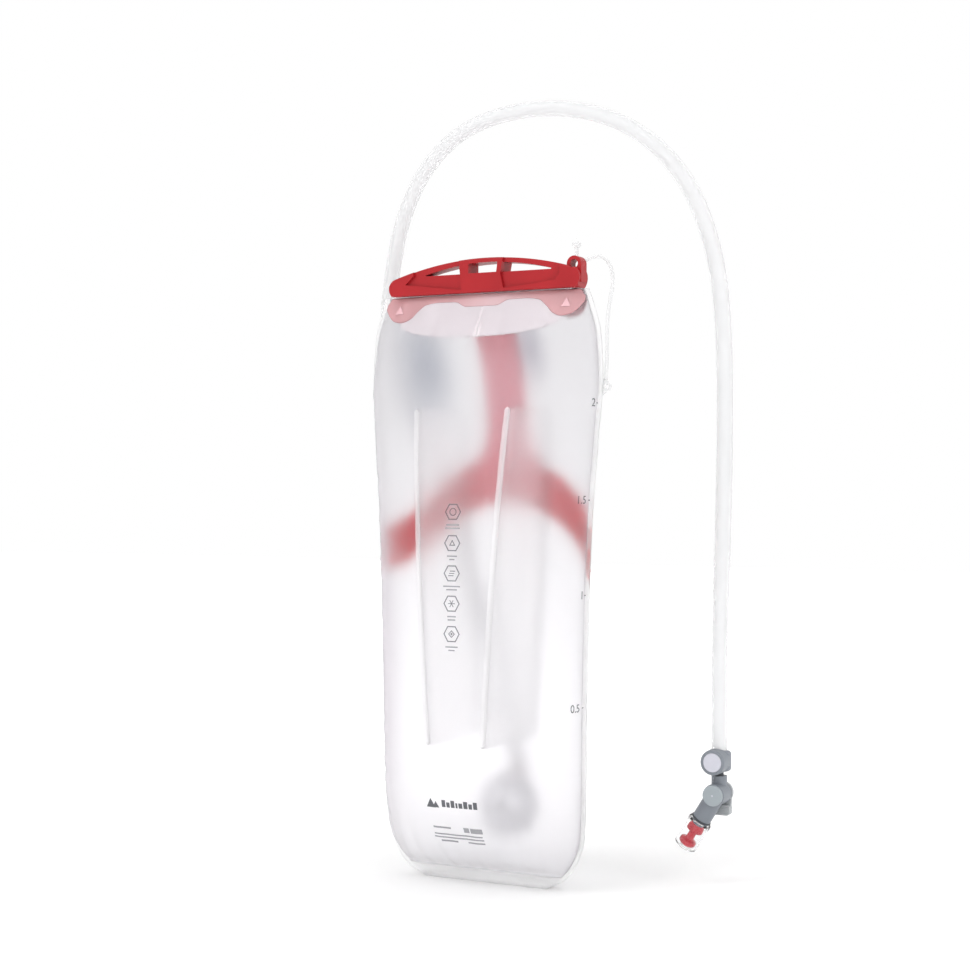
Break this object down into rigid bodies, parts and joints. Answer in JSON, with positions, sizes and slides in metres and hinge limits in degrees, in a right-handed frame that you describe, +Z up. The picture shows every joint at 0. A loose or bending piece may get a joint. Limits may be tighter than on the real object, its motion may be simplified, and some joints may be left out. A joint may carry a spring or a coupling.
{
  "type": "hydration bladder",
  "caption": "Film drinking reservoir standing on its seam, with slide closure and leash, quick-release port, arching drink tube, magnet clip and shut-off bite valve.",
  "frame": {"origin": "centre of the bag's footprint, on the surface that it stands on", "axes": "+Z up; -Y is the marked front; +X towards the closure's eyelet and the hanging valve"},
  "size_m": [0.2301, 0.0992, 0.4707],
  "materials": {
    "bag_film": "frosted film, satin",
    "inner_web": "frosted film, satin",
    "mouth_rail": "satin",
    "mouth_strip": "tinted film, satin",
    "doubled_film": "frosted film, satin",
    "strap_red": "soft matt",
    "closure_red": "satin moulded",
    "leash_clear": "clear soft",
    "port_grey": "satin moulded",
    "button_red": "satin moulded",
    "seal_rubber": "matt",
    "spring_steel": "drawn wire",
    "tube_clear": "clear gloss",
    "valve_grey": "satin moulded",
    "cap_grey": "satin moulded",
    "magnet_steel": "plated",
    "stem_dark": "satin moulded",
    "core_red": "moulded",
    "sheath_clear": "clear soft"
  },
  "bodies": {
    "reservoir": {"front_panel": "bag_film", "back_panel": "bag_film", "baffle_left": "inner_web", "baffle_right": "inner_web", "mouth_rail_front": "mouth_rail", "mouth_rail_back": "mouth_rail", "mouth_band_front": "mouth_strip", "mouth_band_back": "mouth_strip", "mouth_flap": "doubled_film", "back_yoke": "strap_red", "leash_anchor": "leash_clear", "leash": "leash_clear", "port_base": "port_grey", "port_seal": "seal_rubber", "port_socket": "port_grey", "poppet_spring": "spring_steel", "button_spring": "spring_steel"},
    "closure": {"slide_closure": "closure_red", "leash_knob": "leash_clear"},
    "check_valve": {"poppet": "stem_dark"},
    "button": {"release_button": "button_red"},
    "plug": {"plug_nose": "valve_grey", "plug_oring": "seal_rubber", "swivel_oring": "seal_rubber"},
    "hose": {"hose_elbow": "valve_grey", "drink_tube": "tube_clear", "barb_stem": "stem_dark"},
    "clip": {"magnet_clip": "valve_grey", "clip_magnet": "magnet_steel", "clip_cover": "cap_grey"},
    "valve": {"valve_body": "valve_grey", "bite_core": "core_red"},
    "shutoff": {"valve_spool": "cap_grey", "spool_orings": "seal_rubber", "valve_lever": "cap_grey"},
    "mouthpiece": {"bite_sheath": "sheath_clear"}
  },
  "joints": [
    {"name": "closure_slide", "type": "slide", "parent": "reservoir", "child": "closure", "axis": [1, 0, 0], "range_m": [0, 0.13], "deforming": ["leash"]},
    {"name": "poppet_travel", "type": "slide", "parent": "reservoir", "child": "check_valve", "axis": [0, -1, 0], "range_m": [0, 0.0015], "stiffness_N_per_m": 150, "springref_m": -0.004, "deforming": ["poppet_spring"]},
    {"name": "button_press", "type": "slide", "parent": "reservoir", "child": "button", "axis": [0, 0, -1], "range_m": [0, 0.0012], "stiffness_N_per_m": 400, "springref_m": -0.002, "deforming": ["button_spring"]},
    {"name": "plug_pull", "type": "slide", "parent": "reservoir", "child": "plug", "axis": [0, 1, 0], "range_m": [0, 0.022]},
    {"name": "elbow_swivel", "type": "hinge", "parent": "plug", "child": "hose", "pos_m": [0, 0.0515, 0.042], "axis": [0, 1, 0], "range_deg": [-8, 8]},
    {"name": "clip_turn", "type": "hinge", "parent": "hose", "child": "clip", "pos_m": [0.1284, 0.0515, 0.0747], "axis": [0, 0, 1], "continuous": true},
    {"name": "valve_swivel", "type": "hinge", "parent": "hose", "child": "valve", "pos_m": [0.1284, 0.0515, 0.062], "axis": [0, 0, 1], "continuous": true},
    {"name": "lever_turn", "type": "hinge", "parent": "valve", "child": "shutoff", "pos_m": [0.1284, 0.0555, 0.0554], "axis": [0, -1, 0], "range_deg": [0, 90]},
    {"name": "sheath_pull", "type": "slide", "parent": "valve", "child": "mouthpiece", "axis": [-0.5299, 0, -0.848], "range_m": [0, 0.021]}
  ]
}
